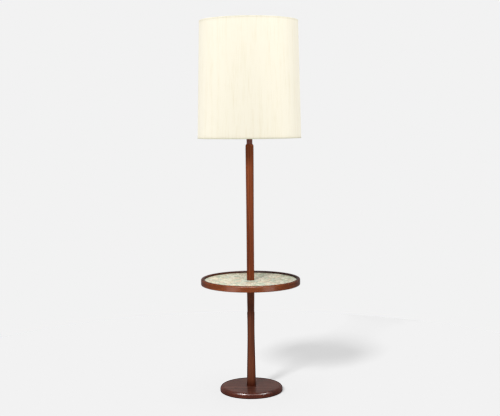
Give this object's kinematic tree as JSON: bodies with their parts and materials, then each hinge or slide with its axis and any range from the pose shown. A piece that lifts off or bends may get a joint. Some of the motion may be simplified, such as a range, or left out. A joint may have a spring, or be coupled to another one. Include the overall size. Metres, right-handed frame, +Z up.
{
  "type": "floor lamp with table",
  "caption": "Free-standing floor lamp: round wooden base, turned column through a round mosaic table, neck, harp and a tall drum shade.",
  "frame": {"origin": "centre of the base's underside, on the floor", "axes": "+Z up along the column, -Y the front, +Y the side where the lead enters"},
  "size_m": [0.4069, 0.407, 1.4663],
  "materials": {
    "felt": "dense wool felt",
    "walnut_base": "reddish walnut, gloss lacquer",
    "walnut_column": "reddish walnut, turned, satin gloss lacquer",
    "walnut_rim": "reddish walnut, satin gloss lacquer",
    "walnut_neck": "walnut, satin lacquer",
    "iron": "raw casting, machined top",
    "steel": "zinc-plated",
    "black_rubber": "moulded",
    "plywood": "sanded, unlacquered",
    "grout": "fine cement grout",
    "tile_glaze": "hand-made tiles, mixed pale glazes",
    "brass": "polished, lightly toned",
    "phenolic": "moulded",
    "fibre_card": "vulcanised fibre",
    "bulb_metal": "rolled",
    "opal_glass": "opal-coated inside",
    "clear_glass": "clear",
    "slub_fabric": "slub weave with upright slubs",
    "styrene": "matt sheet",
    "trim_fabric": "bias tape of the shade's fabric",
    "white_wire": "white powder coat"
  },
  "bodies": {
    "stand": {"base_felt": "felt", "base_disc": "walnut_base", "base_ballast": "iron", "ballast_screws_set": "steel", "base_washer": "steel", "base_nut": "steel", "cord_bushing": "black_rubber", "lower_column": "walnut_column", "lower_rod": "steel", "table_hub": "walnut_column", "table_hub_screws": "steel", "table_panel": "plywood", "table_rim": "walnut_rim", "grout_bed": "grout", "mosaic_tiles": "tile_glaze", "table_washer": "steel", "table_nut": "steel", "rod_coupling": "steel", "upper_column": "walnut_column", "upper_rod": "steel", "neck": "walnut_neck", "neck_plate": "brass", "neck_nut": "brass", "harp_saddle": "brass", "socket_cap": "brass", "socket_core": "phenolic", "socket_contact": "brass", "socket_liner": "brass", "socket_insulator": "fibre_card", "socket_shell": "brass", "terminal_screws": "brass", "harp_wire": "brass", "harp_stud": "brass"},
    "shade": {"shade_fabric": "slub_fabric", "shade_backing": "styrene", "shade_top_trim": "trim_fabric", "shade_bottom_trim": "trim_fabric", "shade_carrier": "white_wire", "shade_bottom_ring": "white_wire"},
    "finial": {"finial_knob": "walnut_column", "finial_insert": "brass"},
    "key": {"switch_key": "phenolic"},
    "bulb": {"bulb_cap": "bulb_metal", "bulb_glass": "opal_glass", "bulb_stem": "clear_glass", "bulb_filament": "steel"},
    "sleeve_left": {"harp_sleeve_left": "brass"},
    "sleeve_right": {"harp_sleeve_right": "brass"}
  },
  "joints": [
    {"name": "shade_swivel", "type": "hinge", "parent": "stand", "child": "shade", "pos_m": [0, 0, 1.4403], "axis": [0, 0, 1], "continuous": true},
    {"name": "finial_turn", "type": "hinge", "parent": "stand", "child": "finial", "pos_m": [0, 0, 1.4421], "axis": [0, 0, 1], "continuous": true},
    {"name": "switch_turn", "type": "hinge", "parent": "stand", "child": "key", "pos_m": [0, -0.02, 1.158], "axis": [0, -1, 0], "continuous": true},
    {"name": "bulb_turn", "type": "hinge", "parent": "stand", "child": "bulb", "pos_m": [0, 0, 1.18], "axis": [0, 0, 1], "continuous": true},
    {"name": "sleeve_left_lift", "type": "slide", "parent": "stand", "child": "sleeve_left", "axis": [0, 0, 1], "range_m": [0, 0.011]},
    {"name": "sleeve_right_lift", "type": "slide", "parent": "stand", "child": "sleeve_right", "axis": [0, 0, 1], "range_m": [0, 0.011]}
  ]
}
